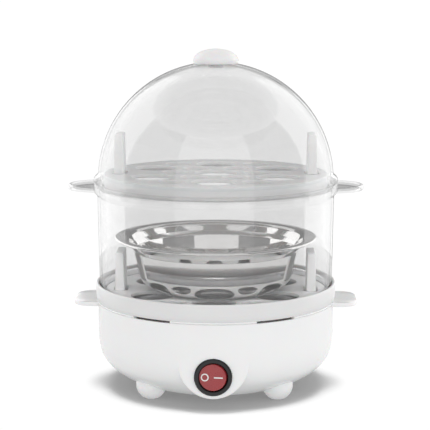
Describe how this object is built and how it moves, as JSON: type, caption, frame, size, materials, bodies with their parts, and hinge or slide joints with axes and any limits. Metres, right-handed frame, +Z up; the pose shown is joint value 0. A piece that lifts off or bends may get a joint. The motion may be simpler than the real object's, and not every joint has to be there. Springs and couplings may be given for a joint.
{
  "type": "egg cooker",
  "caption": "Two-tier electric egg cooker: heated dish in a round base, egg trays, steaming bowl, clear container and domed lid.",
  "frame": {"origin": "middle of the object on the surface that it stands on", "axes": "+Z up along the axis of the base, dome and trays; -Y towards the switch; +X to the right seen from the front"},
  "size_m": [0.1962, 0.1616, 0.2243],
  "materials": {
    "clear_polystyrene": "clear, polished moulding",
    "frosted_plastic": "frosted translucent moulding",
    "tray_polypropylene": "light grey satin moulding",
    "ring_polypropylene": "pale grey satin moulding",
    "housing_polypropylene": "white glossy moulding",
    "polished_stainless": "mirror-polished pressed stainless steel",
    "dish_steel": "brushed pressed steel",
    "aluminium_plate": "milled",
    "zinc_plated_steel": "zinc plated",
    "terminal_brass": "pressed",
    "silicone_rubber": "moulded silicone",
    "phenolic": "moulded phenolic",
    "switch_black": "satin moulding",
    "rocker_red": "translucent red moulding",
    "lamp_glass": "clear glass",
    "fibreglass_sleeve": "woven sleeve",
    "block_nylon": "natural nylon",
    "lead_brown": "silicone insulation",
    "lead_white": "silicone insulation",
    "lead_blue": "silicone insulation",
    "foot_plastic": "white satin moulding"
  },
  "bodies": {
    "base": {"base_ring": "ring_polypropylene", "base_housing": "housing_polypropylene", "bottom_cover": "housing_polypropylene", "cover_screws": "zinc_plated_steel", "ring_screws": "zinc_plated_steel", "foot_front_left": "foot_plastic", "foot_front_right": "foot_plastic", "foot_rear_left": "foot_plastic", "foot_rear_right": "foot_plastic", "heating_dish": "dish_steel", "dish_gasket": "silicone_rubber", "dish_nuts": "zinc_plated_steel", "heater_plate": "aluminium_plate", "heating_element": "aluminium_plate", "element_tabs": "terminal_brass", "heater_clamp": "zinc_plated_steel", "plate_screws": "zinc_plated_steel", "thermostat": "phenolic", "thermostat_flange": "zinc_plated_steel", "thermostat_tabs": "terminal_brass", "thermal_fuse": "fibreglass_sleeve", "fuse_clip": "zinc_plated_steel", "switch_body": "switch_black", "switch_terminals": "terminal_brass", "pilot_lamp": "lamp_glass", "cord_gland": "foot_plastic", "terminal_block": "block_nylon", "terminal_inserts": "terminal_brass", "block_screw": "zinc_plated_steel", "lead_live": "lead_brown", "lead_switched": "lead_brown", "lead_element": "lead_white", "lead_fuse": "lead_white", "lead_neutral": "lead_blue", "lead_lamp": "lead_blue"},
    "lid": {"lid_dome": "clear_polystyrene", "lid_knob": "frosted_plastic"},
    "container": {"steam_container": "clear_polystyrene"},
    "bowl": {"steam_bowl": "polished_stainless"},
    "upper_tray_set": {"upper_tray": "tray_polypropylene", "upper_tray_handle_left": "tray_polypropylene", "upper_tray_handle_right": "tray_polypropylene"},
    "lower_tray_set": {"lower_tray": "tray_polypropylene", "lower_tray_handle_left": "tray_polypropylene", "lower_tray_handle_right": "tray_polypropylene"},
    "rocker": {"switch_rocker": "rocker_red"}
  },
  "joints": [
    {"name": "lower_tray_lift", "type": "slide", "parent": "base", "child": "lower_tray_set", "axis": [0, 0, 1], "range_m": [0, 0.05]},
    {"name": "bowl_lift", "type": "slide", "parent": "lower_tray_set", "child": "bowl", "axis": [0, 0, 1], "range_m": [0, 0.06]},
    {"name": "container_lift", "type": "slide", "parent": "bowl", "child": "container", "axis": [0, 0, 1], "range_m": [0, 0.12]},
    {"name": "upper_tray_lift", "type": "slide", "parent": "container", "child": "upper_tray_set", "axis": [0, 0, 1], "range_m": [0, 0.05]},
    {"name": "lid_lift", "type": "slide", "parent": "upper_tray_set", "child": "lid", "axis": [0, 0, 1], "range_m": [0, 0.1]},
    {"name": "rocker_turn", "type": "hinge", "parent": "base", "child": "rocker", "pos_m": [0, -0.0762, 0.0236], "axis": [0, 0, 1], "range_deg": [0, 14]}
  ]
}
